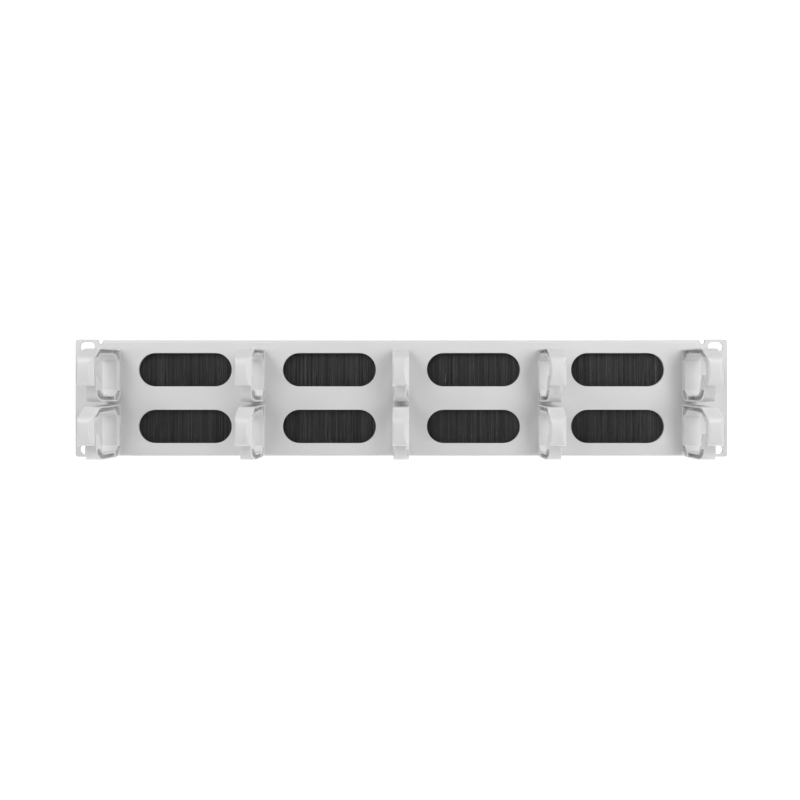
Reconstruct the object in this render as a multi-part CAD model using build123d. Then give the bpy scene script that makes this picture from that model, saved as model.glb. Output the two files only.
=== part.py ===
from build123d import *
from build123d.topology import SkipClean

import os

# A horizontal cable manager for a 19-inch rack, two units high: a folded steel panel with
# round-ended slots closed by brushes, and moulded rings that hold the cables in front of it.
# X runs to the right along the panel, Z runs up, and -Y points at the person in front of the rack.
# The origin is the centre of the panel's rear face, the plane that meets the rack's rails.
# All sizes are in millimetres.

# Panel sheet
PANEL_WIDTH = 482.6
PANEL_HEIGHT = 87.0
SHEET = 1.5
CORNER_RADIUS = 2.0
EAR_WIDTH = 20.1
EAR_RISE = 0.5
FLANGE_DEPTH = 17.0
FLANGE_CORNER = 3.0
BEND_INSIDE = 0.6
RELIEF_WIDTH = 3.2
RELIEF_DEPTH = 3.2

# Rack fixing slots in the ears
RACK_SLOT_LENGTH = 10.8
RACK_SLOT_HEIGHT = 6.5
RACK_EDGE_X = 8.75
RACK_EDGE_Z = 5.4

# Brush slots, one between each pair of ring columns
RING_COLUMNS = 5
RING_EDGE = 7.8
WEB_BETWEEN_SLOTS = 37.7
WEB_AT_EDGE = 10.15
WEB_BETWEEN_ROWS = 17.3

# Cable rings: depth in front of the panel, width along X, and the panel left free above, between
# and below the two rows, which gives each ring its height
RING_DEPTH = 42.5
RING_WIDTH = 11.2
RING_HEAD = 7.4
RING_GAP = 2.2
RING_SILL = 0.2
RING_WALL = 4.6
RING_BASE = 5.0
RING_CHAMFER_DEPTH = 11.0
RING_CHAMFER_DROP = 9.4
RING_FALL = 1.5
RING_SHOULDER = 8.0
RING_BROW = 0.9
RING_BOW = 1.4
RING_ROUND = 7.0
RING_INNER_CHAMFER = 4.0
RING_SMALL_ROUND = 1.5

# The ring's two fingers, measured from the ring's middle height
FINGER_END_DROP = 8.4
FINGER_THICKNESS = 3.6
FINGER_SLIT = 5.8
LOWER_TIP_DROP = 1.0
LOWER_TIP_THICKNESS = 2.2
LOWER_ROOT_THICKNESS = 5.3
LOWER_ROOT_RISE = 7.0

# Bevels on the outer finger's front edges, wide on the right and narrow on the left
BEVEL_RIGHT = 3.0
BEVEL_RIGHT_DEPTH = 2.4
BEVEL_LEFT = 1.2
BEVEL_LEFT_DEPTH = 1.6
BEVEL_MARGIN = 1.0

# Long tapers that narrow the lower finger towards its front
LOWER_TAPER_RIGHT = 1.9
LOWER_TAPER_LEFT = 1.4
LOWER_TAPER_DEPTH = 6.0

# Channels that lighten the ring's walls from both sides
RIM = 1.0
WEB = 3.0
CHANNEL_END_GAP = 1.9
RIB_THICKNESS = 1.6
RIB_DEPTH = 9.0

# Clip feet under the ring, in from its top and its bottom, and their cut-outs
CLIP_INSET = 6.8
CLIP_WIDTH = 5.2
CLIP_CLEARANCE = 0.2
HOOK_NECK = 3.0
HOOK_LIP = 2.0
HOOK_THICKNESS = 1.8
HOOK_ENTRY = 0.7
PRONG = 1.9
PRONG_SLIT = 1.4
BARB = 0.8
BARB_LENGTH = 3.4

# Brush: backing channel, core wire and bristles
BRUSH_OVERLAP = 2.5
BACKING_DEPTH = 5.0
BACKING_HEIGHT = 5.6
BACKING_WALL = 0.8
BACKING_LIP = 0.3
BACKING_ROUND = 1.0
BACKING_DROP = 0.6
WIRE_DIAMETER = 1.2
WIRE_GAP = 0.3
BRISTLE_GAP = 0.3
BRISTLE_FLARE = 0.5
BRISTLE_COVER = 4.0
TUFT_PITCH = 3.2
TUFT_GROOVE = 0.35

# Strap that clamps the brush, its weld studs and flange nuts
STRAP_SHEET = 1.0
STRAP_BEND = 0.5
STRAP_CORNER = 1.5
STRAP_END_GAP = 0.1
STRAP_FLANGE_GAP = 0.2
STUD_DIAMETER = 2.9
STUD_LENGTH = 8.5
STUD_COLLAR_DIAMETER = 4.4
STUD_COLLAR = 0.8
STUD_CHAMFER = 0.4
STUD_HOLE_GAP = 0.3
NUT_ACROSS_FLATS = 5.5
NUT_HEIGHT = 3.2
NUT_FLANGE_DIAMETER = 6.6
NUT_FLANGE = 0.9
NUT_BORE_GAP = 0.05
NUT_GAP = 0.5
TAB_MARGIN = 0.3

# Places worked out from the sizes above
BODY_HALF = PANEL_WIDTH / 2 - EAR_WIDTH
BODY_HEIGHT = PANEL_HEIGHT - 2 * EAR_RISE
COLUMN_PITCH = 2 * (BODY_HALF - RING_EDGE) / (RING_COLUMNS - 1)
SLOT_LENGTH = COLUMN_PITCH - WEB_BETWEEN_SLOTS
SLOT_HEIGHT = (PANEL_HEIGHT - WEB_BETWEEN_ROWS) / 2 - WEB_AT_EDGE
ROW_HEIGHT = (WEB_BETWEEN_ROWS + SLOT_HEIGHT) / 2

RING_HEIGHT = (PANEL_HEIGHT - RING_HEAD - RING_GAP - RING_SILL) / 2
RING_TOP = RING_HEIGHT / 2
RING_LOWER_Z = -PANEL_HEIGHT / 2 + RING_SILL + RING_TOP
RING_UPPER_Z = RING_LOWER_Z + RING_HEIGHT + RING_GAP
FINGER_BACK = RING_DEPTH - FINGER_THICKNESS
LOWER_FRONT = FINGER_BACK - FINGER_SLIT
HOOK_Z = RING_TOP - CLIP_INSET
LATCH_HALF = PRONG + PRONG_SLIT / 2

BRUSH_HALF = SLOT_LENGTH / 2 + BRUSH_OVERLAP
STRAP_HALF = BRUSH_HALF + STRAP_BEND + STRAP_END_GAP
STRAP_HEIGHT = WEB_AT_EDGE - EAR_RISE - SHEET - BEND_INSIDE - BACKING_DROP - STRAP_FLANGE_GAP
STRAP_RISE = BACKING_DEPTH + STRAP_SHEET
STUD_X = STRAP_HALF + STRAP_SHEET + NUT_GAP + NUT_FLANGE_DIAMETER / 2
TAB_END = STUD_X + NUT_FLANGE_DIAMETER / 2 + TAB_MARGIN
BRUSH_BASE = SLOT_HEIGHT / 2 + BACKING_DROP

COLUMN_XS = [(i - (RING_COLUMNS - 1) / 2) * COLUMN_PITCH for i in range(RING_COLUMNS)]
SLOT_XS = [x + COLUMN_PITCH / 2 for x in COLUMN_XS[:-1]]
SLOT_ROWS = {"upper": ROW_HEIGHT, "lower": -ROW_HEIGHT}
RING_ROWS = {"upper": RING_UPPER_Z, "lower": RING_LOWER_Z}

# A ring's side view is drawn with its depth in front of the panel across and its height up.
RING_PLANE = Plane(origin=(0, -SHEET, 0), x_dir=(0, -1, 0), z_dir=(-1, 0, 0))
# A brush's section is drawn with Y across and Z up, seen along X.
BRUSH_PLANE = Plane.YZ
# Slots and holes in the panel are drawn with X across and Z up, seen from the front.
FRONT_PLANE = Plane.XZ


def face_of(points):
    """The flat face inside a closed outline of straight sides."""
    return make_face(Polyline(*points, close=True))


def rounded(face, point, radius):
    """The face with its corner nearest to the point rounded."""
    return fillet(face.vertices().sort_by_distance(point)[0], radius)


def ring_slab(face, x_low, x_high):
    """A ring side view made solid from one X to the other."""
    return Pos(x_high, 0, 0) * extrude(RING_PLANE * face, x_high - x_low)


def through_sheet(face):
    """A tool that cuts a front-view face out of the panel's front wall."""
    return extrude(FRONT_PLANE * face, 2 * SHEET, both=True)


def panel_body():
    """The wide middle of the panel: front wall and two flanges, folded from one sheet."""
    half = BODY_HEIGHT / 2
    outside = face_of([(-SHEET, -half), (FLANGE_DEPTH, -half), (FLANGE_DEPTH, half), (-SHEET, half)])
    inner = half - SHEET
    rear = FLANGE_DEPTH + SHEET
    inside = face_of([(0, -inner), (rear, -inner), (rear, inner), (0, inner)])
    for side in (-1, 1):
        outside = rounded(outside, (-SHEET, side * half), BEND_INSIDE + SHEET)
        inside = rounded(inside, (0, side * inner), BEND_INSIDE)
    body = extrude(Plane.YZ * (outside - inside), BODY_HALF, both=True)
    rear_corners = body.edges().filter_by(Axis.Z).group_by(Axis.Y)[-1]
    return fillet(rear_corners, FLANGE_CORNER)


def panel_ear(side):
    """One flat ear, with its rack slots and the bend reliefs beside the flanges."""
    ear = Pos(side * (BODY_HALF + EAR_WIDTH / 2), 0) * Rectangle(EAR_WIDTH, PANEL_HEIGHT)
    edge = side * PANEL_WIDTH / 2
    for row in (-1, 1):
        ear = rounded(ear, (edge, row * PANEL_HEIGHT / 2), CORNER_RADIUS)
        slot = SlotOverall(RACK_SLOT_LENGTH, RACK_SLOT_HEIGHT)
        ear -= Pos(side * (PANEL_WIDTH / 2 - RACK_EDGE_X), row * (PANEL_HEIGHT / 2 - RACK_EDGE_Z)) * slot
        relief = SlotOverall(2 * RELIEF_DEPTH, RELIEF_WIDTH, rotation=90)
        ear -= Pos(side * (BODY_HALF + RELIEF_WIDTH / 2), row * PANEL_HEIGHT / 2) * relief
    return extrude(FRONT_PLANE * ear, SHEET)


def clip_cutouts():
    """The two rectangles in the panel that one ring's feet go through, about the ring's centre."""
    width = CLIP_WIDTH + 2 * CLIP_CLEARANCE
    hook_low = HOOK_Z - HOOK_NECK / 2 - CLIP_CLEARANCE
    hook_high = HOOK_Z + HOOK_NECK / 2 + HOOK_ENTRY
    hook = Pos(0, (hook_low + hook_high) / 2) * Rectangle(width, hook_high - hook_low)
    latch = Pos(0, -HOOK_Z) * Rectangle(width, 2 * (LATCH_HALF + CLIP_CLEARANCE))
    return hook + latch


def panel():
    """The whole sheet in one piece: body, ears, brush slots and clip cut-outs."""
    sheet = panel_body()
    cuts = [
        Pos(x, z) * SlotOverall(SLOT_LENGTH, SLOT_HEIGHT) for x in SLOT_XS for z in SLOT_ROWS.values()
    ]
    cuts += [Pos(x, z) * clip_cutouts() for x in COLUMN_XS for z in RING_ROWS.values()]
    for cut in cuts:
        sheet -= through_sheet(cut)
    # The ears' rear faces are the seats on the rack's rails, so they stay faces of their own.
    with SkipClean():
        return sheet + panel_ear(-1) + panel_ear(1)


def ring_outline():
    """The ring seen from the side, as one curled strip with a slit between its two fingers."""
    top, bottom = RING_TOP, -RING_TOP
    shoulder = (RING_DEPTH - RING_CHAMFER_DEPTH, top - RING_FALL)
    brow = (RING_DEPTH - RING_BROW, top - RING_CHAMFER_DROP)
    crest = (RING_DEPTH, (top - RING_CHAMFER_DROP - FINGER_END_DROP) / 2)
    finger_end = (RING_DEPTH - RING_BOW, -FINGER_END_DROP)
    straight = Polyline(
        finger_end,
        (LOWER_FRONT, -FINGER_END_DROP),
        (LOWER_FRONT, bottom),
        (0, bottom),
        (0, top),
        shoulder,
        brow,
    )
    outline = make_face(straight + ThreePointArc(brow, crest, finger_end))

    inner_top = top - RING_WALL
    inner_front = (FINGER_BACK - RING_CHAMFER_DROP + RING_BROW, inner_top - RING_FALL)
    inner_bottom = bottom + RING_WALL
    opening = face_of(
        [
            (RING_BASE, inner_bottom + RING_INNER_CHAMFER),
            (RING_BASE, inner_top - RING_INNER_CHAMFER),
            (RING_BASE + RING_INNER_CHAMFER, inner_top),
            inner_front,
            (FINGER_BACK, inner_top - RING_CHAMFER_DROP + RING_BROW),
            (FINGER_BACK, inner_bottom),
            (RING_BASE + RING_INNER_CHAMFER, inner_bottom),
        ]
    )
    root_back = LOWER_FRONT - LOWER_ROOT_THICKNESS
    lower_finger = face_of(
        [
            (LOWER_FRONT, bottom),
            (LOWER_FRONT, -LOWER_TIP_DROP),
            (LOWER_FRONT - LOWER_TIP_THICKNESS, -LOWER_TIP_DROP),
            (root_back, bottom + LOWER_ROOT_RISE),
            (root_back - RING_INNER_CHAMFER / 2, inner_bottom),
            (root_back - RING_INNER_CHAMFER / 2, bottom),
        ]
    )
    strip = outline - opening + lower_finger
    strip = rounded(strip, (0, bottom), RING_ROUND)
    strip = rounded(strip, (LOWER_FRONT, bottom), RING_ROUND)
    strip = rounded(strip, (0, top), RING_SMALL_ROUND)
    strip = rounded(strip, shoulder, RING_SHOULDER)
    strip = rounded(strip, brow, RING_SHOULDER)
    strip = rounded(strip, inner_front, RING_SHOULDER - RING_WALL)
    strip = rounded(strip, finger_end, RING_SMALL_ROUND)
    return rounded(strip, (LOWER_FRONT - LOWER_TIP_THICKNESS, -LOWER_TIP_DROP), RING_SMALL_ROUND)


def ring_channels(strip):
    """The side-view face of the channels in the top and bottom walls, inside an even rim, less a rib."""
    reach = RING_TOP - FINGER_END_DROP - CHANNEL_END_GAP
    channels = Sketch()
    for side in (-1, 1):
        band = Pos(RING_DEPTH / 2, side * (RING_TOP - reach / 2)) * Rectangle(2 * RING_DEPTH, reach)
        channels += offset(strip & band, -RIM, kind=Kind.ARC)
    rib = Pos(RIB_DEPTH, -RING_TOP) * Rectangle(RIB_THICKNESS, 2 * RING_WALL)
    return channels - rib


def bevel_tool(side, front, width, depth, z_low, z_high):
    """A wedge that bevels a finger's front edge on one side, between two heights."""
    edge = side * RING_WIDTH / 2
    tip = edge - side * width * (1 + BEVEL_MARGIN / depth)
    ahead = -SHEET - front - BEVEL_MARGIN
    wedge = face_of([(edge, -SHEET - front + depth), (edge, ahead), (tip, ahead)])
    return Pos(0, 0, z_low) * extrude(Plane.XY * wedge, z_high - z_low)


def ring_bevels():
    """The four wedges that bevel the outer finger and taper the lower one."""
    outer = (-FINGER_END_DROP, RING_TOP)
    lower = (-RING_TOP, -LOWER_TIP_DROP)
    return [
        bevel_tool(1, RING_DEPTH, BEVEL_RIGHT, BEVEL_RIGHT_DEPTH, *outer),
        bevel_tool(-1, RING_DEPTH, BEVEL_LEFT, BEVEL_LEFT_DEPTH, *outer),
        bevel_tool(1, LOWER_FRONT, LOWER_TAPER_RIGHT, LOWER_TAPER_DEPTH, *lower),
        bevel_tool(-1, LOWER_FRONT, LOWER_TAPER_LEFT, LOWER_TAPER_DEPTH, *lower),
    ]


def ring_hook():
    """The upper foot: a neck through the panel and a lip that stands up behind it."""
    low, high = HOOK_Z - HOOK_NECK / 2, HOOK_Z + HOOK_NECK / 2
    lip_front = SHEET + CLIP_CLEARANCE
    lip_back = lip_front + HOOK_THICKNESS
    return face_of(
        [
            (RIM, low),
            (-lip_back, low),
            (-lip_back, high + HOOK_LIP),
            (-lip_front, high + HOOK_LIP),
            (-lip_front, high),
            (RIM, high),
        ]
    )


def ring_prong(side):
    """One half of the lower foot: a springy prong with a barb behind the panel."""
    shoulder = SHEET + CLIP_CLEARANCE
    inner, outer = side * PRONG_SLIT / 2, side * LATCH_HALF
    barb = outer + side * BARB
    prong = face_of(
        [
            (RIM, inner),
            (-shoulder - BARB_LENGTH, inner),
            (-shoulder - BARB_LENGTH, (inner + outer) / 2),
            (-shoulder, barb),
            (-shoulder, outer),
            (RIM, outer),
        ]
    )
    return Pos(0, -HOOK_Z) * prong


def ring():
    """One cable ring about its own centre, standing on the panel's front face."""
    strip = ring_outline()
    half = RING_WIDTH / 2
    body = ring_slab(strip, -half, half)
    channels = ring_channels(strip)
    body -= ring_slab(channels, -half, -WEB / 2)
    body -= ring_slab(channels, WEB / 2, half)
    for tool in ring_bevels():
        body -= tool
    for foot in (ring_hook(), ring_prong(-1), ring_prong(1)):
        body += ring_slab(foot, -CLIP_WIDTH / 2, CLIP_WIDTH / 2)
    return body


def brush_middle():
    """Where the bristles' middle plane and the wire lie: Y, and Z above the backing's mouth."""
    return BACKING_DEPTH / 2, BACKING_HEIGHT - BACKING_DEPTH / 2


def brush_backing():
    """The channel pinched over the bristles, open downwards, about the slot's centre."""
    depth, height, wall = BACKING_DEPTH, BACKING_HEIGHT, BACKING_WALL
    mouth = wall + BACKING_LIP
    section = face_of(
        [
            (0, 0),
            (0, height),
            (depth, height),
            (depth, 0),
            (depth - mouth, 0),
            (depth - wall, wall),
            (depth - wall, height - wall),
            (wall, height - wall),
            (wall, wall),
            (mouth, 0),
        ]
    )
    for y in (0, depth):
        section = rounded(section, (y, height), BACKING_ROUND)
    return Pos(0, 0, BRUSH_BASE) * extrude(BRUSH_PLANE * section, BRUSH_HALF, both=True)


def brush_wire():
    """The core wire that the bristles are folded over."""
    y, z = brush_middle()
    section = Pos(y, z) * Circle(WIRE_DIAMETER / 2)
    return Pos(0, 0, BRUSH_BASE) * extrude(BRUSH_PLANE * section, BRUSH_HALF, both=True)


def brush_bristles():
    """The bristles as one ridged sheet: folded over the wire, hanging past the slot's lower edge."""
    y, z = brush_middle()
    root = BACKING_DEPTH / 2 - BACKING_WALL - BACKING_LIP - BRISTLE_GAP
    tip = root + BRISTLE_FLARE
    length = SLOT_HEIGHT + BACKING_DROP + BRISTLE_COVER
    hanging = face_of(
        [
            (y - root, z),
            (y - root, 0),
            (y - tip, -length),
            (y + tip, -length),
            (y + root, 0),
            (y + root, z),
        ]
    )
    fold = Pos(y, z) * Circle(BACKING_DEPTH / 2 - BACKING_WALL - BRISTLE_GAP)
    bore = Pos(y, z) * Circle(WIRE_DIAMETER / 2 + WIRE_GAP)
    sheet = extrude(BRUSH_PLANE * (hanging + fold - bore), BRUSH_HALF, both=True)

    groove = Pos(0, 0, -length) * extrude(
        Rectangle(2 * TUFT_GROOVE, 2 * TUFT_GROOVE, rotation=45), length
    )
    count = int(2 * BRUSH_HALF / TUFT_PITCH)
    for i in range(count):
        x = (i - (count - 1) / 2) * TUFT_PITCH
        sheet -= [Pos(x, y - tip, 0) * groove, Pos(x, y + tip, 0) * groove]
    return Pos(0, 0, BRUSH_BASE) * sheet


def brush_strap():
    """The joggled strip over the backing, with a stud hole in the tab at each end."""
    far, near = STRAP_HALF + STRAP_SHEET, STRAP_HALF
    profile = face_of(
        [
            (-TAB_END, 0),
            (-TAB_END, STRAP_SHEET),
            (-far, STRAP_SHEET),
            (-far, STRAP_RISE),
            (far, STRAP_RISE),
            (far, STRAP_SHEET),
            (TAB_END, STRAP_SHEET),
            (TAB_END, 0),
            (near, 0),
            (near, BACKING_DEPTH),
            (-near, BACKING_DEPTH),
            (-near, 0),
        ]
    )
    outer_bend = STRAP_BEND + STRAP_SHEET
    for side in (-1, 1):
        profile = rounded(profile, (side * far, STRAP_RISE), outer_bend)
        profile = rounded(profile, (side * near, BACKING_DEPTH), STRAP_BEND)
        profile = rounded(profile, (side * far, STRAP_SHEET), STRAP_BEND)
        profile = rounded(profile, (side * near, 0), outer_bend)
    strap = Pos(0, 0, BRUSH_BASE) * extrude(Plane.XY * profile, STRAP_HEIGHT)
    ends = strap.edges().filter_by(Axis.Y)
    strap = fillet(ends.group_by(Axis.X)[0] + ends.group_by(Axis.X)[-1], STRAP_CORNER)
    hole = through_sheet(Circle(STUD_COLLAR_DIAMETER / 2 + STUD_HOLE_GAP))
    for side in (-1, 1):
        strap -= Pos(side * STUD_X, 0, BRUSH_BASE + STRAP_HEIGHT / 2) * hole
    return strap


def weld_stud():
    """A weld stud on the panel's rear face: a collar and a plain shank, along +Y."""
    shank = Cylinder(STUD_DIAMETER / 2, STUD_LENGTH, align=(Align.CENTER, Align.CENTER, Align.MIN))
    shank = chamfer(shank.faces().sort_by(Axis.Z)[-1].edges(), STUD_CHAMFER)
    collar = Cylinder(STUD_COLLAR_DIAMETER / 2, STUD_COLLAR, align=(Align.CENTER, Align.CENTER, Align.MIN))
    return Rot(-90, 0, 0) * (shank + collar)


def flange_nut():
    """A hexagon nut with its own flange, seated on the strap's tab."""
    flange = Circle(NUT_FLANGE_DIAMETER / 2)
    hexagon = RegularPolygon(NUT_ACROSS_FLATS / 2, 6, major_radius=False)
    bore = Circle(STUD_DIAMETER / 2 + NUT_BORE_GAP)
    nut = extrude(flange - bore, NUT_FLANGE) + extrude(hexagon - bore, NUT_HEIGHT)
    return Pos(0, STRAP_SHEET, 0) * Rot(-90, 0, 0) * nut


def at_every_stud(piece):
    """One copy of the piece at each stud, as a group of separate solids."""
    z = BRUSH_BASE + STRAP_HEIGHT / 2
    places = [
        Pos(x + side * STUD_X, 0, row + z)
        for row in SLOT_ROWS.values()
        for x in SLOT_XS
        for side in (-1, 1)
    ]
    return Compound(children=[place * piece for place in places])


def parts():
    """Every node's name and shape."""
    made = {"panel": panel()}
    one_ring = ring()
    for row, z in RING_ROWS.items():
        for number, x in enumerate(COLUMN_XS, start=1):
            made[f"cable_ring_{row}_{number}"] = Pos(x, 0, z) * one_ring
    brush = {
        "brush_backing": brush_backing(),
        "brush_wire": brush_wire(),
        "brush_bristles": brush_bristles(),
        "brush_strap": brush_strap(),
    }
    for name, piece in brush.items():
        for row, z in SLOT_ROWS.items():
            for number, x in enumerate(SLOT_XS, start=1):
                made[f"{name}_{row}_{number}"] = Pos(x, 0, z) * piece
    made["weld_studs"] = at_every_stud(weld_stud())
    made["flange_nuts"] = at_every_stud(flange_nut())
    return made


os.makedirs("parts", exist_ok=True)
for node, shape in parts().items():
    export_step(shape, f"parts/{node}.step")
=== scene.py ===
"""Looks of a horizontal cable manager for a 19-inch rack, two units high.

A powder-coated panel carries moulded cable rings in front. Brushes close its round-ended slots
from behind, held by straps, weld studs and flange nuts. Everything is in metres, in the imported
model's frame: X runs right along the panel, Z runs up, and -Y points at the person in front.
"""

import logging
import math
from collections.abc import Iterator
from dataclasses import dataclass, field
from enum import Enum

import bmesh
import bpy
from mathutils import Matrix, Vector


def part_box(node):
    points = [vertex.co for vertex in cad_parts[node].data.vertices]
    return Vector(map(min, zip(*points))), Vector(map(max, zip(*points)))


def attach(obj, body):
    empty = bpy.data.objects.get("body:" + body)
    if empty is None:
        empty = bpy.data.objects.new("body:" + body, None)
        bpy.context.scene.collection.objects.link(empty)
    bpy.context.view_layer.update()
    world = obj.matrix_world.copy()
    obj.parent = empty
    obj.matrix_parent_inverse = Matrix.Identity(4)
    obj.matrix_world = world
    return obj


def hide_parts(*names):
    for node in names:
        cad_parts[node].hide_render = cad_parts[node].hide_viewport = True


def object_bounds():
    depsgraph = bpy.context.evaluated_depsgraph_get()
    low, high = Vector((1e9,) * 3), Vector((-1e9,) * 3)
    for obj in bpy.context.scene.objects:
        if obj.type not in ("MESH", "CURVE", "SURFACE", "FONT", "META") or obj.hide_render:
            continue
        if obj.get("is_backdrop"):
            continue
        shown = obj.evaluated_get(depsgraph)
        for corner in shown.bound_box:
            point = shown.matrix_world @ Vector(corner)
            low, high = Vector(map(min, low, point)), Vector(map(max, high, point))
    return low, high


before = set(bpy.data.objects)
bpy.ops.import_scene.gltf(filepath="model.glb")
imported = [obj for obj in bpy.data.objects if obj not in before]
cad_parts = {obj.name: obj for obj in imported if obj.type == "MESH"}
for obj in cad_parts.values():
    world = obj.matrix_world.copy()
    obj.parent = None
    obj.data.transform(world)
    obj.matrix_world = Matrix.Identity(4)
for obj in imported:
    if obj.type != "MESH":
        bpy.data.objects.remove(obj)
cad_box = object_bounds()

LOG = logging.getLogger("cable_manager")
MM = 0.001
BODY = "root"
WELD_DISTANCE = 0.001 * MM
EDGE_ANGLE = math.radians(30)
EDGE_SAMPLES = 8
NOISE_MIDDLE = 0.5

Socket = bpy.types.NodeSocket
Node = bpy.types.Node
Piece = bpy.types.Object


class Row(Enum):
    """The two rows of rings and brushes."""

    UPPER = "upper"
    LOWER = "lower"


class Slot(Enum):
    """Names of the material slots."""

    PANEL = "panel_paint"
    RING = "ring_plastic"
    BRISTLE = "bristle_fibre"
    BACKING = "backing_steel"
    STRAP = "strap_steel"
    FASTENER = "fastener_steel"


class Joining(Enum):
    """Ways to make one closed shape out of two."""

    UNION = "UNION"
    INTERSECT = "INTERSECT"
    DIFFERENCE = "DIFFERENCE"


class Graph:
    """Adds nodes to one tree and joins them."""

    def __init__(self, tree: bpy.types.NodeTree) -> None:
        """Start from an empty tree.

        Args:
            tree: The shader or geometry tree to fill.
        """
        tree.nodes.clear()
        self.tree = tree

    def add(self, kind: str, inputs: dict[str | int, object] | None = None, **settings: object) -> Node:
        """Add one node.

        Args:
            kind: Blender's name for the type of node.
            inputs: A value or another node's output for each socket, by name or number.
            settings: The node's own properties.

        Returns:
            The new node.
        """
        node = self.tree.nodes.new(kind)
        for key, value in settings.items():
            setattr(node, key, value)
        for key, value in (inputs or {}).items():
            self.feed(node.inputs[key], value)
        return node

    def feed(self, socket: Socket, value: object) -> None:
        """Link another node's output to a socket, or set its value.

        Args:
            socket: The input to feed.
            value: An output socket, or a plain value.
        """
        if isinstance(value, bpy.types.NodeSocket):
            self.tree.links.new(value, socket)
        else:
            socket.default_value = value

    def math(self, operation: str, *values: object) -> Socket:
        """Do one sum.

        Args:
            operation: Blender's name for it.
            values: Its operands, sockets or numbers.

        Returns:
            The result.
        """
        kind = "ShaderNodeMath"
        return self.add(kind, dict(enumerate(values)), operation=operation).outputs[0]


class SurfaceGraph(Graph):
    """A material's nodes, with the steps that every finish here is made of."""

    def __init__(self, name: str) -> None:
        """Make a new material.

        Args:
            name: The material's name.
        """
        self.material = bpy.data.materials.new(name)
        self.material.use_nodes = True
        super().__init__(self.material.node_tree)
        self.place = self.add("ShaderNodeTexCoord").outputs["Object"]

    def stretched(self, scale: tuple[float, float, float]) -> Socket:
        """Object coordinates, stretched.

        Args:
            scale: How much along each axis.

        Returns:
            The stretched coordinates.
        """
        return self.add("ShaderNodeMapping", {"Vector": self.place, "Scale": scale}).outputs["Vector"]

    def noise(self, size: float, detail: float = 2.0, place: Socket | None = None) -> Socket:
        """Soft noise from 0 to 1.

        Args:
            size: The width of its patches, in metres.
            detail: How many finer layers it has.
            place: Coordinates, if not the object's own.

        Returns:
            The noise.
        """
        inputs = {"Vector": place or self.place, "Scale": 1 / size, "Detail": detail}
        return self.add("ShaderNodeTexNoise", inputs).outputs["Fac"]

    def spread(
        self, value: Socket, low: float, high: float, start: float = 0.3, end: float = 0.7
    ) -> Socket:
        """Stretch a value over a range.

        Args:
            value: What to stretch.
            low: The result where the value is start.
            high: The result where the value is end.
            start: The value that gives low.
            end: The value that gives high.

        Returns:
            The stretched value.
        """
        inputs = {"Value": value, "From Min": start, "From Max": end, "To Min": low, "To Max": high}
        return self.add("ShaderNodeMapRange", inputs).outputs["Result"]

    def varied(self, value: Socket, middle: float, swing: float) -> Socket:
        """Let a value swing a number about its middle.

        Args:
            value: The noise that swings it.
            middle: The number's middle.
            swing: How far it goes to each side.

        Returns:
            The number.
        """
        return self.spread(value, middle - swing, middle + swing)

    def blend(self, share: object, first: object, second: object) -> Socket:
        """Mix two colours.

        Args:
            share: How much of the second.
            first: The first colour.
            second: The second colour.

        Returns:
            The mixed colour.
        """
        return self.add("ShaderNodeMix", {0: share, 6: first, 7: second}, data_type="RGBA").outputs[2]

    def rounded(self, radius: float) -> Socket:
        """The surface's normal, turned along each edge as if the edge were rounded.

        Args:
            radius: How far from an edge the rounding reaches, in metres.

        Returns:
            The normal.
        """
        return self.add("ShaderNodeBevel", {"Radius": radius}, samples=EDGE_SAMPLES).outputs["Normal"]

    def bump(self, height: Socket, depth: float, under: Socket) -> Socket:
        """Turn a height into a bumped normal.

        Args:
            height: The height, from 0 to 1.
            depth: What a height of 1 is, in metres.
            under: The normal without the bump.

        Returns:
            The bumped normal.
        """
        inputs = {"Height": height, "Distance": depth, "Strength": 1.0, "Normal": under}
        return self.add("ShaderNodeBump", inputs).outputs["Normal"]

    def finish(self, **inputs: object) -> bpy.types.Material:
        """Close the material with its main shader.

        Args:
            inputs: The shader's sockets, with underscores for spaces.

        Returns:
            The material.
        """
        named = {key.replace("_", " "): value for key, value in inputs.items()}
        shader = self.add("ShaderNodeBsdfPrincipled", named)
        self.add("ShaderNodeOutputMaterial", {"Surface": shader.outputs["BSDF"]})
        return self.material


def grey(value: float, warmth: float = 0.0) -> tuple[float, float, float, float]:
    """A near-neutral linear colour.

    Args:
        value: Its brightness.
        warmth: How much red it gains and blue it loses, as a share.

    Returns:
        The colour with its alpha.
    """
    return (value * (1 + warmth), value, value * (1 - warmth), 1.0)


def grey_pair(value: float, variation: float, warmth: float = 0.0) -> list[tuple[float, ...]]:
    """A slightly darker and a slightly lighter grey.

    Args:
        value: The brightness between them.
        variation: How far each is from it, as a share.
        warmth: How much red they gain and blue they lose, as a share.

    Returns:
        The darker grey and the lighter one.
    """
    return [grey(value * (1 + side * variation), warmth) for side in (-1, 1)]


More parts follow.
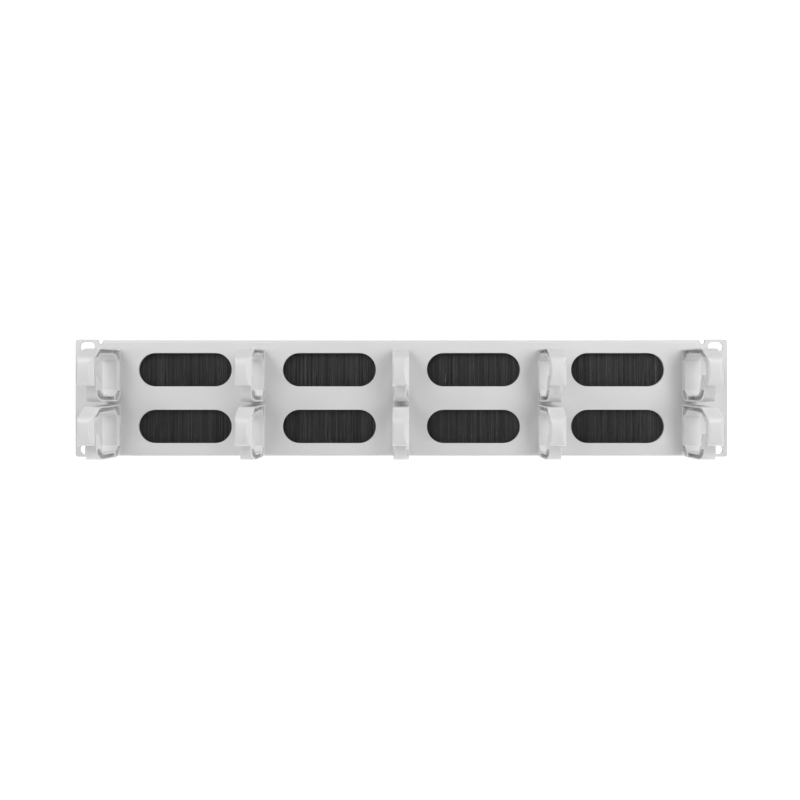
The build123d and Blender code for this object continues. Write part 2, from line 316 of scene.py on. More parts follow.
@dataclass(frozen=True)
class PowderCoat:
    """Light grey satin powder coat: fine orange peel, and hardly any change of tone."""

    name: str = "powder_coat"
    tone: float = 0.6
    variation: float = 0.015
    roughness: float = 0.46
    roughness_swing: float = 0.05
    peel_size: float = 1.1 * MM
    peel_depth: float = 0.02 * MM
    grain_size: float = 0.22 * MM
    grain_depth: float = 0.004 * MM
    cloud_size: float = 45 * MM
    edge_radius: float = 0.35 * MM

    def material(self) -> bpy.types.Material:
        """Build the coat's nodes.

        Returns:
            The material.
        """
        surface = SurfaceGraph(self.name)
        cloud = surface.noise(self.cloud_size)
        peel = surface.noise(self.peel_size, detail=1.0)
        grain = surface.noise(self.grain_size, detail=3.0)
        dark, light = grey_pair(self.tone, self.variation)
        colour = surface.blend(surface.spread(cloud, 0.0, 1.0), dark, light)
        rough = surface.varied(grain, self.roughness, self.roughness_swing)
        normal = surface.bump(peel, self.peel_depth, surface.rounded(self.edge_radius))
        normal = surface.bump(grain, self.grain_depth, normal)
        return surface.finish(Base_Color=colour, Roughness=rough, Normal=normal)


@dataclass(frozen=True)
class MouldedPlastic:
    """Light grey moulded plastic: smooth and satin, with faint flow marks, and a little see-through."""

    name: str = "moulded_plastic"
    tone: float = 0.62
    variation: float = 0.012
    roughness: float = 0.38
    roughness_swing: float = 0.04
    flow_size: float = 9 * MM
    flow_stretch: float = 0.3
    skin_size: float = 0.35 * MM
    skin_depth: float = 0.004 * MM
    wave_size: float = 5 * MM
    wave_depth: float = 0.03 * MM
    depth_share: float = 0.5
    depth_reach: float = 2.5 * MM
    edge_radius: float = 0.6 * MM

    def material(self) -> bpy.types.Material:
        """Build the moulding's nodes.

        Returns:
            The material.
        """
        surface = SurfaceGraph(self.name)
        flow = surface.noise(self.flow_size, place=surface.stretched((1, self.flow_stretch, 1)))
        skin = surface.noise(self.skin_size, detail=3.0)
        wave = surface.noise(self.wave_size, detail=1.0)
        dark, light = grey_pair(self.tone, self.variation)
        colour = surface.blend(surface.spread(flow, 0.0, 1.0), dark, light)
        rough = surface.varied(skin, self.roughness, self.roughness_swing)
        normal = surface.bump(wave, self.wave_depth, surface.rounded(self.edge_radius))
        normal = surface.bump(skin, self.skin_depth, normal)
        return surface.finish(
            Base_Color=colour,
            Roughness=rough,
            Normal=normal,
            Subsurface_Weight=self.depth_share,
            Subsurface_Radius=(1.0, 1.0, 1.0),
            Subsurface_Scale=self.depth_reach,
        )


@dataclass(frozen=True)
class BristleFibre:
    """Black nylon fibre: each one a little lighter or darker, with a dull shine."""

    name: str = "bristle_fibre"
    darkest: float = 0.026
    lightest: float = 0.092
    roughness: float = 0.62
    roughness_swing: float = 0.08
    shine: float = 0.22
    tone_attribute: str = "fibre_tone"
    grain_size: float = 0.3 * MM
    grain_stretch: float = 0.1
    grain_dark: float = 0.35
    grain_light: float = 1.05

    def material(self) -> bpy.types.Material:
        """Build the fibres' nodes.

        Returns:
            The material.
        """
        surface = SurfaceGraph(self.name)
        tone = surface.add("ShaderNodeAttribute", attribute_name=self.tone_attribute).outputs["Fac"]
        grain = surface.noise(self.grain_size, place=surface.stretched((1, 1, self.grain_stretch)))
        share = surface.math("MULTIPLY", tone, surface.spread(grain, self.grain_dark, self.grain_light))
        colour = surface.blend(share, grey(self.darkest), grey(self.lightest))
        rough = surface.varied(grain, self.roughness, self.roughness_swing)
        return surface.finish(Base_Color=colour, Roughness=rough, Specular_IOR_Level=self.shine)


@dataclass(frozen=True)
class GalvanisedSteel:
    """Zinc-dipped steel: dull metal with flat patches of crystal."""

    name: str = "galvanised_steel"
    tone: float = 0.52
    variation: float = 0.12
    roughness: float = 0.42
    roughness_swing: float = 0.08
    coolness: float = 0.015
    patch_size: float = 2.6 * MM
    grain_size: float = 0.4 * MM
    grain_depth: float = 0.003 * MM
    edge_radius: float = 0.15 * MM

    def material(self) -> bpy.types.Material:
        """Build the zinc's nodes.

        Returns:
            The material.
        """
        surface = SurfaceGraph(self.name)
        inputs = {"Vector": surface.place, "Scale": 1 / self.patch_size}
        patch = surface.add("ShaderNodeTexVoronoi", inputs).outputs["Color"]
        level = surface.add("ShaderNodeSeparateColor", {"Color": patch}).outputs["Red"]
        grain = surface.noise(self.grain_size, detail=3.0)
        dark, light = grey_pair(self.tone, self.variation, -self.coolness)
        colour = surface.blend(level, dark, light)
        smoothest, roughest = self.roughness - self.roughness_swing, self.roughness + self.roughness_swing
        rough = surface.spread(level, smoothest, roughest, 0.0, 1.0)
        normal = surface.bump(grain, self.grain_depth, surface.rounded(self.edge_radius))
        return surface.finish(Base_Color=colour, Metallic=1.0, Roughness=rough, Normal=normal)


@dataclass(frozen=True)
class ZincPlate:
    """Bright zinc plate on rolled or turned steel, with fine lines along the work."""

    name: str
    tone: float
    roughness: float
    line_size: float
    stretch: tuple[float, float, float]
    line_depth: float = 0.002 * MM
    stain_size: float = 12 * MM
    stain: float = 0.08
    tint: float = 0.01
    roughness_swing: float = 0.07
    edge_radius: float = 0.15 * MM

    def material(self) -> bpy.types.Material:
        """Build the plate's nodes.

        Returns:
            The material.
        """
        surface = SurfaceGraph(self.name)
        lines = surface.noise(self.line_size, detail=4.0, place=surface.stretched(self.stretch))
        stain = surface.noise(self.stain_size)
        dark, light = grey(self.tone * (1 - self.stain), self.tint), grey(self.tone, -self.tint)
        colour = surface.blend(surface.spread(stain, 0.0, 1.0), dark, light)
        rough = surface.varied(lines, self.roughness, self.roughness_swing)
        normal = surface.bump(lines, self.line_depth, surface.rounded(self.edge_radius))
        return surface.finish(Base_Color=colour, Metallic=1.0, Roughness=rough, Normal=normal)


@dataclass(frozen=True)
class WhitePaper:
    """The studio's seamless white paper, which glows more towards the back, so it shows no horizon."""

    name: str = "white_paper"
    tone: float = 0.9
    glow: float = 0.86
    dim_until: float = -0.5
    bright_from: float = 0.1
    roughness: float = 0.9
    fibre_size: float = 3 * MM
    fibre_dark: float = 0.98

    def material(self) -> bpy.types.Material:
        """Build the paper's nodes.

        Returns:
            The material.
        """
        surface = SurfaceGraph(self.name)
        fibre = surface.noise(self.fibre_size, detail=3.0)
        colour = surface.blend(fibre, grey(self.tone * self.fibre_dark), grey(self.tone))
        depth = surface.add("ShaderNodeSeparateXYZ", {0: surface.place}).outputs["Y"]
        return surface.finish(
            Base_Color=colour,
            Roughness=self.roughness,
            Emission_Color=grey(1.0),
            Emission_Strength=surface.spread(depth, 0.0, self.glow, self.dim_until, self.bright_from),
        )


class GrowthGraph(Graph):
    """A geometry tree with named inputs, grown into a plain mesh."""

    def __init__(self, name: str, inputs: dict[str, str]) -> None:
        """Make a new geometry tree.

        Args:
            name: The tree's name.
            inputs: The kind of each named input: Float, Int, Material or Vector.
        """
        super().__init__(bpy.data.node_groups.new(name, "GeometryNodeTree"))
        sockets = self.tree.interface
        sockets.new_socket(name="Geometry", in_out="INPUT", socket_type="NodeSocketGeometry")
        sockets.new_socket(name="Geometry", in_out="OUTPUT", socket_type="NodeSocketGeometry")
        for label, kind in inputs.items():
            sockets.new_socket(name=label, in_out="INPUT", socket_type=f"NodeSocket{kind}")
        self.given = self.add("NodeGroupInput").outputs

    def random(self, low: object, high: object, salt: int) -> Socket:
        """A random number for each element, from the tree's Seed.

        Args:
            low: The least it can be.
            high: The most it can be.
            salt: Sets this number apart from the tree's others.

        Returns:
            The number.
        """
        seed = self.math("ADD", self.given["Seed"], float(salt))
        return self.add("FunctionNodeRandomValue", {2: low, 3: high, "Seed": seed}).outputs[1]

    def vector(self, x: object, y: object, z: object) -> Socket:
        """A vector from three numbers or sockets."""
        return self.add("ShaderNodeCombineXYZ", {0: x, 1: y, 2: z}).outputs[0]

    def keep(self, geometry: Socket, name: str, value: Socket, domain: str) -> Socket:
        """Store a number on the geometry under a name.

        Args:
            geometry: What to store it on.
            name: The attribute's name.
            value: The number.
            domain: The elements that get one each.

        Returns:
            The geometry with its attribute.
        """
        inputs = {"Geometry": geometry, "Name": name, "Value": value}
        return self.add("GeometryNodeStoreNamedAttribute", inputs, domain=domain).outputs[0]

    def kept(self, name: str) -> Socket:
        """A number that was stored under a name."""
        return self.add("GeometryNodeInputNamedAttribute", {"Name": name}).outputs[0]

    def close(self, geometry: Socket) -> None:
        """Round off the shading, make instances real, set the material and end the tree.

        Args:
            geometry: What the tree has made.
        """
        real = self.add("GeometryNodeRealizeInstances", {"Geometry": geometry}).outputs[0]
        smooth = self.add("GeometryNodeSetShadeSmooth", {0: real}, domain="FACE").outputs[0]
        angle = self.add("GeometryNodeInputMeshEdgeAngle").outputs["Unsigned Angle"]
        inputs = {0: angle, 1: EDGE_ANGLE}
        gentle = self.add("FunctionNodeCompare", inputs, operation="LESS_THAN").outputs[0]
        inputs = {0: smooth, "Shade Smooth": gentle}
        shaded = self.add("GeometryNodeSetShadeSmooth", inputs, domain="EDGE").outputs[0]
        inputs = {"Geometry": shaded, "Material": self.given["Material"]}
        dressed = self.add("GeometryNodeSetMaterial", inputs).outputs[0]
        self.add("NodeGroupOutput", {0: dressed})

    def grow(self, name: str, points: list[Vector], values: dict[str, object]) -> Piece:
        """Grow the tree into a mesh.

        Args:
            name: The new piece's name.
            points: The points that the tree starts from.
            values: A value for each named input.

        Returns:
            The piece, as a plain mesh at the origin.
        """
        start = bpy.data.meshes.new(name)
        start.from_pydata(points, [], [])
        piece = bpy.data.objects.new(name, start)
        modifier = piece.modifiers.new("growth", "NODES")
        modifier.node_group = self.tree
        for item in self.tree.interface.items_tree:
            if item.in_out == "INPUT" and item.name in values:
                modifier[item.identifier] = values[item.name]
        bpy.context.scene.collection.objects.link(piece)
        return settled(piece)


def settled(piece: Piece) -> Piece:
    """Turn a piece's modifiers into its mesh.

    Args:
        piece: A piece with live modifiers.

    Returns:
        The same piece, with a plain mesh and no modifier.
    """
    evaluated = piece.evaluated_get(bpy.context.evaluated_depsgraph_get())
    mesh = bpy.data.meshes.new_from_object(evaluated)
    piece.modifiers.clear()
    piece.data = mesh
    mesh.name = piece.name
    return piece


def joined_mesh(node: str, name: str) -> bpy.types.Mesh:
    """A CAD node's loose triangles joined into one skin that keeps their shading.

    Args:
        node: The node's name.
        name: The new mesh's name.

    Returns:
        The skin.
    """
    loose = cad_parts[node].data
    numbers: dict[tuple[int, ...], int] = {}
    points: list[Vector] = []
    joined = []
    for corner in loose.vertices:
        key = tuple(round(value / WELD_DISTANCE) for value in corner.co)
        if key not in numbers:
            numbers[key] = len(points)
            points.append(corner.co.copy())
        joined.append(numbers[key])
    faces = [[joined[corner] for corner in face.vertices] for face in loose.polygons]
    skin = bpy.data.meshes.new(name)
    skin.from_pydata(points, [], faces)
    skin.normals_split_custom_set([normal.vector for normal in loose.corner_normals])
    return skin


def dressed(node: str, name: str, material: bpy.types.Material) -> Piece:
    """Copy a CAD node as one skin and give it its finish.

    Args:
        node: The node to copy.
        name: The new piece's name.
        material: The piece's finish.

    Returns:
        The dressed piece.
    """
    mesh = joined_mesh(node, name)
    mesh.materials.append(material)
    piece = bpy.data.objects.new(name, mesh)
    bpy.context.scene.collection.objects.link(piece)
    return piece


def island_boxes(node: str) -> list[tuple[Vector, Vector]]:
    """The lowest and highest corner of each separate solid in a CAD node.

    Args:
        node: The node's name.

    Returns:
        One pair of corners for each solid, in the order of their places, so that every run agrees.
    """
    mesh = joined_mesh(node, node)
    skin = bmesh.new()
    skin.from_mesh(mesh)
    bpy.data.meshes.remove(mesh)
    left = set(skin.verts)
    boxes: list[tuple[Vector, Vector]] = []
    while left:
        front = [left.pop()]
        found = []
        while front:
            here = front.pop()
            found.append(here.co.copy())
            beside = {edge.other_vert(here) for edge in here.link_edges} & left
            left -= beside
            front += beside
        low, high = (Vector(pick(p[axis] for p in found) for axis in range(3)) for pick in (min, max))
        boxes.append((low, high))
    skin.free()
    return sorted(boxes, key=lambda box: tuple(round(value / MM, 1) for value in box[0]))


def hand_over(piece: Piece, slot: Slot, *nodes: str) -> Piece:
    """Let a finished piece ride on the body and stand for its CAD nodes.

    Args:
        piece: The finished piece.
        slot: Not used.
        nodes: The CAD nodes that it stands for.

    Returns:
        The same piece.
    """
    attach(piece, BODY)
    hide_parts(*nodes)
    return piece


@dataclass
class PanelSheet:
    """The folded steel panel, with a coat that rounds its cut edges."""

    finish: PowderCoat = field(default_factory=PowderCoat)

    def build(self) -> Iterator[Piece]:
        """Dress the panel.

        Yields:
            The panel.
        """
        piece = dressed("panel", "painted_panel", self.finish.material())
        yield hand_over(piece, Slot.PANEL, "panel")


@dataclass
class CableRings:
    """The moulded cable rings, five to a row."""

    columns: int = 5
    finish: MouldedPlastic = field(default_factory=MouldedPlastic)

    def build(self) -> Iterator[Piece]:
        """Dress the rings.

        Yields:
            Each ring.
        """
        material = self.finish.material()
        for row in Row:
            for number in range(1, self.columns + 1):
                node = f"cable_ring_{row.value}_{number}"
                piece = dressed(node, f"moulded_ring_{row.value}_{number}", material)
                yield hand_over(piece, Slot.RING, node)


@dataclass
class Bristles:
    """One brush's fibres: several layers, gathered into tufts that lean a little."""

    spacing: float = 0.25 * MM
    layers: int = 7
    unevenness: float = 0.35
    layer_unevenness: float = 0.07
    fibre_radius: float = 0.17 * MM
    fibre_sides: int = 3
    tuft_pitch: float = 3.2 * MM
    tuft_hollow: float = 0.16
    tuft_sharpness: float = 4.0
    root_share: float = 0.62
    bend: float = 1.8
    lean: float = 0.4 * MM
    stray: float = 0.8 * MM
    stray_rarity: float = 22.0
    clump: float = 0.6 * MM
    clump_size: float = 1.6 * MM
    streak_size: float = 0.5 * MM
    streak_contrast: float = 3.2
    streak_level: float = 0.4
    own_tone: float = 0.25
    trim: float = 0.5 * MM
    steps: int = 6
    tone_attribute: str = BristleFibre.tone_attribute

    def tree(self) -> GrowthGraph:
        """Build the tree that grows one brush, hanging down from its roots.

        Returns:
            The tree.
        """
        graph = GrowthGraph(
            "bristle_growth",
            {
                "Width": "Float",
                "Thickness": "Float",
                "Length": "Float",
                "Columns": "Int",
                "Layers": "Int",
                "Fibre Radius": "Float",
                "Seed": "Int",
                "Middle": "Vector",
                "Material": "Material",
            },
        )
        given = graph.given
        sizes = {"Size X": given["Width"], "Size Y": 1.0}
        counts = {"Vertices X": given["Columns"], "Vertices Y": given["Layers"]}
        roots = graph.add("GeometryNodeMeshGrid", sizes | counts).outputs[0]
        shift = self.spacing * self.unevenness
        sway = self.layer_unevenness
        jitter = graph.vector(graph.random(-shift, shift, 1), graph.random(-sway, sway, 2), 0.0)
        roots = graph.add("GeometryNodeSetPosition", {"Geometry": roots, "Offset": jitter}).outputs[0]
        line = graph.add("GeometryNodeCurvePrimitiveLine", {"End": (0, 0, -1)}).outputs[0]
        line = graph.add("GeometryNodeResampleCurve", {"Curve": line, "Count": self.steps}).outputs[0]
        fibres = graph.add("GeometryNodeInstanceOnPoints", {"Points": roots, "Instance": line}).outputs[0]
        wild = graph.math("POWER", graph.random(0.0, 1.0, 3), self.stray_rarity)
        side = graph.random(-1.0, 1.0, 4)
        lean = graph.math("MULTIPLY", side, graph.math("MULTIPLY_ADD", wild, self.stray, self.lean))
        fibres = graph.keep(fibres, "lean", lean, "INSTANCE")
        fibres = graph.keep(fibres, "trim", graph.random(0.0, self.trim, 5), "INSTANCE")
        fibres = graph.keep(fibres, self.tone_attribute, self.tone(graph), "INSTANCE")
        fibres = graph.add("GeometryNodeRealizeInstances", {"Geometry": fibres}).outputs[0]
        bent = {"Geometry": fibres, "Position": self.hang(graph)}
        fibres = graph.add("GeometryNodeSetPosition", bent).outputs[0]
        circle = {"Resolution": self.fibre_sides, "Radius": given["Fibre Radius"]}
        profile = graph.add("GeometryNodeCurvePrimitiveCircle", circle).outputs[0]
        tube = {"Curve": fibres, "Profile Curve": profile, "Fill Caps": True}
        graph.close(graph.add("GeometryNodeCurveToMesh", tube).outputs[0])
        return graph

    def tone(self, graph: GrowthGraph) -> Socket:
        """How light each fibre is: partly its own, partly shared with its neighbours.

        Args:
            graph: The tree being built.

        Returns:
            The tone, from 0 to 1.
        """
        where = graph.add("GeometryNodeInputPosition").outputs[0]
        scale = {"Vector": where, "Scale": 1 / self.streak_size, "Detail": 2.0}
        streak = graph.add("ShaderNodeTexNoise", scale).outputs[0]
        own = graph.random(-self.own_tone, self.own_tone, 6)
        above = graph.math("SUBTRACT", streak, NOISE_MIDDLE)
        wide = graph.math("MULTIPLY_ADD", above, self.streak_contrast, self.streak_level)
        return graph.add("ShaderNodeClamp", {"Value": graph.math("ADD", wide, own)}).outputs[0]

    def hang(self, graph: GrowthGraph) -> Socket:
        """Where each point of a fibre hangs.

        Args:
            graph: The tree being built.

        Returns:
            The point's place.
        """
        given = graph.given
        apart = graph.add("ShaderNodeSeparateXYZ", {0: graph.add("GeometryNodeInputPosition").outputs[0]})
        across, layer, depth = apart.outputs
        down = graph.math("MULTIPLY", depth, -1.0)
        curved = graph.math("POWER", down, self.bend)
        turn = graph.math("MULTIPLY", across, 2 * math.pi / self.tuft_pitch)
        ridge = graph.math("MAXIMUM", graph.math("COSINE", turn), 0.0)
        crease = graph.math("POWER", ridge, self.tuft_sharpness)
        pinch = graph.math("MULTIPLY_ADD", crease, -self.tuft_hollow, 1.0)
        flare = graph.math("MULTIPLY_ADD", down, 1 - self.root_share, self.root_share)
        stand = graph.math("MULTIPLY", graph.math("MULTIPLY", pinch, flare), given["Thickness"])
        grain = {"Vector": graph.vector(across, layer, 0.0), "Scale": 1 / self.clump_size, "Detail": 1.0}
        pull = graph.math("SUBTRACT", graph.add("ShaderNodeTexNoise", grain).outputs[0], NOISE_MIDDLE)
        drift = graph.math("MULTIPLY_ADD", pull, 2 * self.clump, graph.kept("lean"))
        reach = graph.math("SUBTRACT", given["Length"], graph.kept("trim"))
        place = graph.vector(
            graph.math("MULTIPLY_ADD", drift, curved, across),
            graph.math("MULTIPLY", layer, stand),
            graph.math("MULTIPLY", depth, reach),
        )
        return graph.add("ShaderNodeVectorMath", {0: place, 1: given["Middle"]}, operation="ADD").outputs[0]


@dataclass
class Brushes:
    """The brushes behind the slots: fibres, backings, core wires and straps."""

    per_row: int = 4
    seed_step: int = 100
    bristles: Bristles = field(default_factory=Bristles)
    fibre: BristleFibre = field(default_factory=BristleFibre)
    galvanised: GalvanisedSteel = field(default_factory=GalvanisedSteel)
    strip: ZincPlate = ZincPlate(
        name="zinc_strip", tone=0.6, roughness=0.34, line_size=0.5 * MM, stretch=(0.05, 1, 1)
    )

    def build(self) -> Iterator[Piece]:
        """Grow the fibres and dress what holds them.

        Yields:
            Every piece of every brush.
        """
        tree = self.bristles.tree()
        fibre, zinc, strip = (look.material() for look in (self.fibre, self.galvanised, self.strip))
        seed = 0
        for row in Row:
            for number in range(1, self.per_row + 1):
                place = f"{row.value}_{number}"
                seed += 1
                yield self.grow_fibres(tree, place, seed, fibre)
                piece = dressed(f"brush_backing_{place}", f"backing_channel_{place}", zinc)
                yield hand_over(piece, Slot.BACKING, f"brush_backing_{place}")
                piece = dressed(f"brush_strap_{place}", f"clamp_strap_{place}", strip)
                yield hand_over(piece, Slot.STRAP, f"brush_strap_{place}")
                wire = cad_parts[f"brush_wire_{place}"]
                wire.data.materials.clear()
                wire.data.materials.append(zinc)
                yield wire

    def grow_fibres(self, tree: GrowthGraph, place: str, seed: int, fibre: bpy.types.Material) -> Piece:
        """Grow one brush's fibres in the space of its CAD solid.

        Args:
            tree: The tree that grows them.
            place: The brush's row and number.
            seed: Makes this brush its own.
            fibre: The fibres' material.

        Returns:
            The fibres.
        """
        low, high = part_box(f"brush_bristles_{place}")
        middle = (low + high) / 2
        radius = self.bristles.fibre_radius
        width = high.x - low.x - 2 * (radius + self.bristles.spacing)
        values = {
            "Width": width,
            "Thickness": high.y - low.y - 4 * radius,
            "Length": high.z - low.z - 2 * radius,
            "Columns": round(width / self.bristles.spacing),
            "Layers": self.bristles.layers,
            "Fibre Radius": radius,
            "Seed": seed * self.seed_step,
            "Middle": Vector((middle.x, middle.y, high.z - radius)),
            "Material": fibre,
        }
        piece = tree.grow(f"bristle_pack_{place}", [], values)
        return hand_over(piece, Slot.BRISTLE, f"brush_bristles_{place}")


@dataclass
class Fixings:
    """The weld studs with their threads, and the flange nuts on them."""

    thread_radius: float = 1.45 * MM
    thread_pitch: float = 0.5 * MM
    thread_height: float = 0.27 * MM
    thread_sides: int = 3
    thread_steps: int = 16
    collar: float = 0.8 * MM
    flat_share: float = 0.93
    chamfer: float = 0.45 * MM
    flange: float = 0.9 * MM
    flange_rim: float = 0.45
    skirt_share: float = 0.46
    corner_margin: float = 1.02
    across_flats: float = 5.5 * MM
    bore_radius: float = 1.5 * MM
    bore_reach: float = 4 * MM
    nut_sides: int = 6
    round_steps: int = 36
    finish: ZincPlate = ZincPlate(
        name="zinc_fixing", tone=0.58, roughness=0.3, line_size=0.25 * MM, stretch=(1, 0.1, 1)
    )

    def build(self) -> Iterator[Piece]:
        """Grow the studs and the nuts where the CAD has them.

        Yields:
            The studs, and then the nuts.
        """
        material = self.finish.material()
        studs = island_boxes("weld_studs")
        nuts = island_boxes("flange_nuts")
        feet, seats = (
            [Vector(((low.x + high.x) / 2, low.y, (low.z + high.z) / 2)) for low, high in boxes]
            for boxes in (studs, nuts)
        )
        low, high = studs[0]
        values = {"Collar Radius": (high.x - low.x) / 2, "Length": high.y - low.y, "Material": material}
        yield hand_over(self.stud_tree().grow("threaded_studs", feet, values), Slot.FASTENER, "weld_studs")
        low, high = nuts[0]
        values = {"Flange Radius": (high.x - low.x) / 2, "Height": high.y - low.y, "Material": material}
        yield hand_over(self.nut_tree().grow("hexagon_nuts", seats, values), Slot.FASTENER, "flange_nuts")

    def rod(self, graph: GrowthGraph, radius: object, length: object, base: object, sides: int) -> Socket:
        """A closed rod that stands on Z.

        Args:
            graph: The tree being built.
            radius: Its radius.
            length: Its length.
            base: The height of its foot.
            sides: How many sides it has.

        Returns:
            The rod.
        """
        sizes = {"Vertices": sides, "Radius": radius, "Depth": length}
        rod = graph.add("GeometryNodeMeshCylinder", sizes).outputs["Mesh"]
        lift = graph.math("MULTIPLY_ADD", length, 0.5, base)
        moved = {"Geometry": rod, "Translation": graph.vector(0.0, 0.0, lift)}
        return graph.add("GeometryNodeTransform", moved).outputs[0]

    def cone(self, graph: GrowthGraph, bottom: object, top: object, length: object, base: object) -> Socket:
        """A closed cone with a flat top that stands on Z.

        Args:
            graph: The tree being built.
            bottom: The radius of its foot.
            top: The radius of its top.
            length: Its height.
            base: The height of its foot.

        Returns:
            The cone.
        """
        sizes = {"Vertices": self.round_steps, "Radius Bottom": bottom, "Radius Top": top, "Depth": length}
        cone = graph.add("GeometryNodeMeshCone", sizes).outputs["Mesh"]
        moved = {"Geometry": cone, "Translation": graph.vector(0.0, 0.0, base)}
        return graph.add("GeometryNodeTransform", moved).outputs[0]

    def joined(self, graph: GrowthGraph, *parts: Socket) -> Socket:
        """Join several pieces of geometry.

        Args:
            graph: The tree being built.
            parts: What to join.

        Returns:
            All of it.
        """
        node = graph.add("GeometryNodeJoinGeometry")
        for part in parts:
            graph.feed(node.inputs[0], part)
        return node.outputs[0]

    def placed(self, graph: GrowthGraph, part: Socket, turn: object) -> Socket:
        """Put a copy of a part on each starting point, lying along +Y.

        Args:
            graph: The tree being built.
            part: The part, standing on Z.
            turn: Its turn about its own length.

        Returns:
            The copies.
        """
        spin = graph.add("FunctionNodeAxisAngleToRotation", {"Axis": (0, 0, 1), "Angle": turn}).outputs[0]
        lay = {"Axis": (1, 0, 0), "Angle": -math.pi / 2}
        lie = graph.add("FunctionNodeAxisAngleToRotation", lay).outputs[0]
        both = graph.add("FunctionNodeRotateRotation", {0: lie, 1: spin}, rotation_space="LOCAL").outputs[0]
        inputs = {"Points": graph.given["Geometry"], "Instance": part, "Rotation": both}
        return graph.add("GeometryNodeInstanceOnPoints", inputs).outputs[0]

    def stud_tree(self) -> GrowthGraph:
        """Build the tree for the studs: collar, core and a thread wound round it.

        Returns:
            The tree.
        """
        kinds = {"Collar Radius": "Float", "Length": "Float", "Seed": "Int", "Material": "Material"}
        graph = GrowthGraph("stud_growth", kinds)
        given = graph.given
        core = self.thread_radius - self.thread_height
        length = graph.math("SUBTRACT", given["Length"], self.chamfer)
        collar = self.rod(graph, given["Collar Radius"], self.collar, 0.0, self.round_steps)
        shank = self.rod(graph, core, length, 0.0, self.round_steps)
        tip = self.cone(graph, core, core - self.chamfer, self.chamfer, length)
        wound = graph.math("SUBTRACT", length, self.collar + self.thread_pitch)
        spiral = {
            "Resolution": self.thread_steps,
            "Rotations": graph.math("DIVIDE", wound, self.thread_pitch),
            "Start Radius": core,
            "End Radius": core,
            "Height": wound,
        }
        helix = graph.add("GeometryNodeCurveSpiral", spiral).outputs[0]
        lift = {"Geometry": helix, "Translation": (0, 0, self.collar + self.thread_pitch / 2)}
        helix = graph.add("GeometryNodeTransform", lift).outputs[0]
        circle = {"Resolution": self.thread_sides, "Radius": self.thread_height}
        ridge = graph.add("GeometryNodeCurvePrimitiveCircle", circle).outputs[0]
        tube = {"Curve": helix, "Profile Curve": ridge, "Fill Caps": True}
        thread = graph.add("GeometryNodeCurveToMesh", tube).outputs[0]
        stud = self.joined(graph, collar, shank, tip, thread)
        graph.close(self.placed(graph, stud, graph.random(0.0, 2 * math.pi, 1)))
        return graph

    def nut_tree(self) -> GrowthGraph:
        """Build the tree for the nuts: a chamfered hexagon on a flange, bored through.

        Returns:
            The tree.
        """
        kinds = {"Flange Radius": "Float", "Height": "Float", "Seed": "Int", "Material": "Material"}
        graph = GrowthGraph("nut_growth", kinds)
        given = graph.given
        corner = self.across_flats / math.sqrt(3)
        hexagon = self.rod(graph, corner, given["Height"], 0.0, self.nut_sides)
        crown = graph.math("SUBTRACT", given["Height"], self.chamfer)
        turned = self.corner_margin * corner
        body = self.rod(graph, turned, crown, 0.0, self.round_steps)
        top = self.cone(graph, turned, self.flat_share * self.across_flats / 2, self.chamfer, crown)
        form = self.boolean(graph, Joining.UNION, body, top)
        hexagon = self.boolean(graph, Joining.INTERSECT, hexagon, form)
        rim = self.flange * self.flange_rim
        plate = self.rod(graph, given["Flange Radius"], rim, 0.0, self.round_steps)
        neck = self.skirt_share * self.across_flats
        slope = self.cone(graph, given["Flange Radius"], neck, self.flange - rim, rim)
        skirt = self.boolean(graph, Joining.UNION, plate, slope)
        solid = self.boolean(graph, Joining.UNION, hexagon, skirt)
        bore = self.rod(graph, self.bore_radius, 2 * self.bore_reach, -self.bore_reach, self.round_steps)
        nut = self.boolean(graph, Joining.DIFFERENCE, solid, bore)
        graph.close(self.placed(graph, nut, 0.0))
        return graph

    def boolean(self, graph: GrowthGraph, joining: Joining, first: Socket, second: Socket) -> Socket:
        """Combine two closed shapes.

        Args:
            graph: The tree being built.
            joining: How they are combined.
            first: The shape that is kept or cut.
            second: The other shape.

        Returns:
            The combined shape.
        """
        node = graph.add("GeometryNodeMeshBoolean", operation=joining.value, solver="EXACT")
        if joining is Joining.DIFFERENCE:
            graph.feed(node.inputs[0], first)
        else:
            graph.feed(node.inputs[1], first)
        graph.feed(node.inputs[1], second)
        return node.outputs[0]


@dataclass
class SoftBox:
    """One rectangular studio light that points at a target."""

    name: str
    place: tuple[float, float, float]
    size: tuple[float, float]
    power: float
    target: tuple[float, float, float] = (0.0, 0.0, 0.0)

    def build(self) -> None:
        """Hang the light."""
        lamp = bpy.data.lights.new(self.name, "AREA")
        lamp.shape = "RECTANGLE"
        lamp.size, lamp.size_y = self.size
        lamp.energy = self.power
        holder = bpy.data.objects.new(self.name, lamp)
        holder.location = self.place
        aim = Vector(self.target) - Vector(self.place)
        holder.rotation_euler = aim.to_track_quat("-Z", "Y").to_euler()
        bpy.context.scene.collection.objects.link(holder)


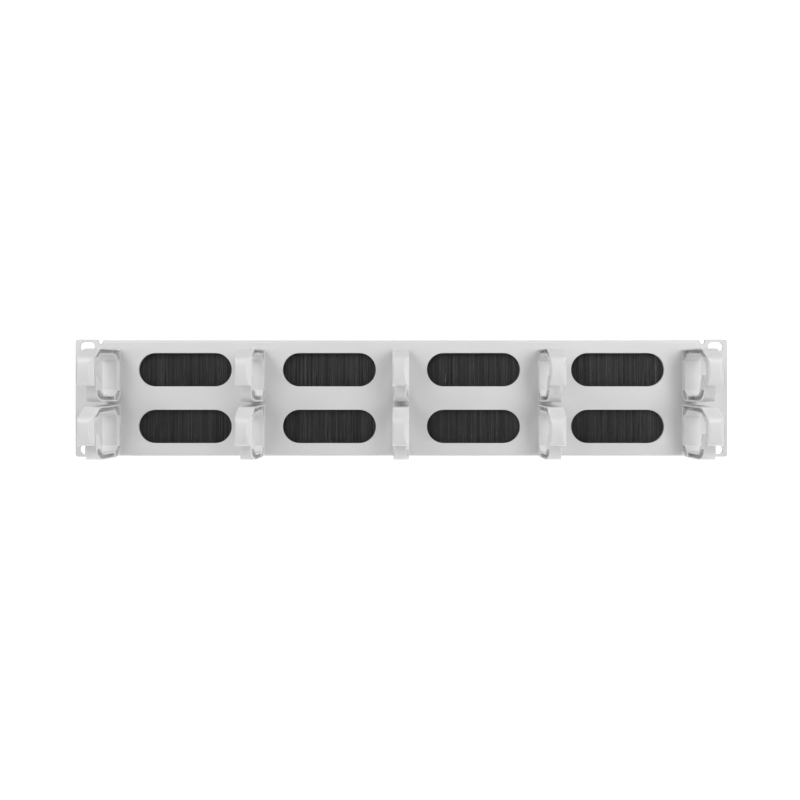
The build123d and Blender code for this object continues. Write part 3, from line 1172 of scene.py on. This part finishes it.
@dataclass
class Studio:
    """The camera, the lights and the seamless paper behind and under the panel."""

    image_px: int = 800
    panel_centre_px: tuple[float, float] = (401.4, 398.1)
    vanishing_px: tuple[float, float] = (409.0, 398.0)
    px_per_metre: float = 1351.0
    distance: float = 0.475
    sensor: float = 36.0
    nearest: float = 0.01
    ambient: float = 0.01
    room_tone: float = 1.0
    floor_drop: float = 0.32
    floor_front: float = -0.5
    wall_back: float = 1.6
    wall_height: float = 2.4
    half_width: float = 1.6
    sweep_radius: float = 0.7
    sweep_steps: int = 24
    paper: WhitePaper = field(default_factory=WhitePaper)
    lights: tuple[SoftBox, ...] = (
        SoftBox("left_high", (-0.5, -0.6, 0.6), (0.6, 0.6), 5.0),
        SoftBox("left_side", (-0.9, -0.35, 0.12), (0.35, 0.35), 1.75),
        SoftBox("left_front", (-0.35, -0.8, 0.12), (0.25, 0.35), 0.5),
        SoftBox("right_high", (0.5, -0.6, 0.6), (0.6, 0.6), 4.0),
        SoftBox("right_side", (1.53, -0.72, 0.62), (0.6, 0.7), 8.5),
        SoftBox("right_level", (0.9, -0.35, 0.0), (0.25, 0.35), 1.1),
        SoftBox("right_front", (0.35, -0.8, 0.12), (0.25, 0.35), 1.1),
    )

    def build(self) -> None:
        """Set up everything round the object."""
        self.make_camera()
        self.make_world()
        self.make_paper()
        for light in self.lights:
            light.build()
        bpy.context.scene.view_settings.view_transform = "Standard"

    def make_camera(self) -> None:
        """Stand the camera square to the panel, where the photograph's perspective puts it."""
        across, down = (v - c for v, c in zip(self.vanishing_px, self.panel_centre_px))
        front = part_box("panel")[0].y
        lens = bpy.data.cameras.new("camera")
        lens.sensor_width = self.sensor
        lens.lens = self.sensor * self.distance * self.px_per_metre / self.image_px
        lens.shift_x = 0.5 - self.vanishing_px[0] / self.image_px
        lens.shift_y = self.vanishing_px[1] / self.image_px - 0.5
        lens.clip_start = self.nearest
        camera = bpy.data.objects.new("camera", lens)
        camera.location = (across / self.px_per_metre, front - self.distance, -down / self.px_per_metre)
        camera.rotation_euler = (math.pi / 2, 0, 0)
        bpy.context.scene.collection.objects.link(camera)
        bpy.context.scene.camera = camera

    def make_world(self) -> None:
        """Fill the room with faint even light, and let it look pale where the paper ends."""
        world = bpy.data.worlds.new("room")
        world.use_nodes = True
        graph = Graph(world.node_tree)
        light, seen = (
            graph.add("ShaderNodeBackground", {"Color": grey(1.0), "Strength": strength}).outputs[0]
            for strength in (self.ambient, self.room_tone)
        )
        direct = graph.add("ShaderNodeLightPath").outputs["Is Camera Ray"]
        both = graph.add("ShaderNodeMixShader", {0: direct, 1: light, 2: seen}).outputs[0]
        graph.add("ShaderNodeOutputWorld", {"Surface": both})
        bpy.context.scene.world = world

    def make_paper(self) -> None:
        """Roll the paper out under the object and up behind it."""
        floor = cad_box[0].z - self.floor_drop
        bend = [(self.floor_front, floor)]
        for step in range(self.sweep_steps + 1):
            angle = step / self.sweep_steps * math.pi / 2
            back = self.wall_back - self.sweep_radius * (1 - math.sin(angle))
            bend.append((back, floor + self.sweep_radius * (1 - math.cos(angle))))
        bend.append((self.wall_back, floor + self.wall_height))
        points = [(side * self.half_width, y, z) for y, z in bend for side in (-1, 1)]
        faces = [(2 * i, 2 * i + 1, 2 * i + 3, 2 * i + 2) for i in range(len(bend) - 1)]
        mesh = bpy.data.meshes.new("seamless_paper")
        mesh.from_pydata(points, [], faces)
        mesh.materials.append(self.paper.material())
        mesh.shade_smooth()
        paper = bpy.data.objects.new("seamless_paper", mesh)
        bpy.context.scene.collection.objects.link(paper)
        paper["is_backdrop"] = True


def main() -> None:
    """Build the sub-assemblies and the studio."""
    logging.basicConfig(level=logging.INFO, format="%(message)s")
    for assembly in (PanelSheet(), CableRings(), Brushes(), Fixings()):
        for piece in assembly.build():
            LOG.info("%s: %s, %d faces", type(assembly).__name__, piece.name, len(piece.data.polygons))
    Studio().build()
    boxes = {"cad": cad_box, "visual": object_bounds()}
    {key: [list(corner) for corner in box] for key, box in boxes.items()}


if __name__ == "__main__":
    main()
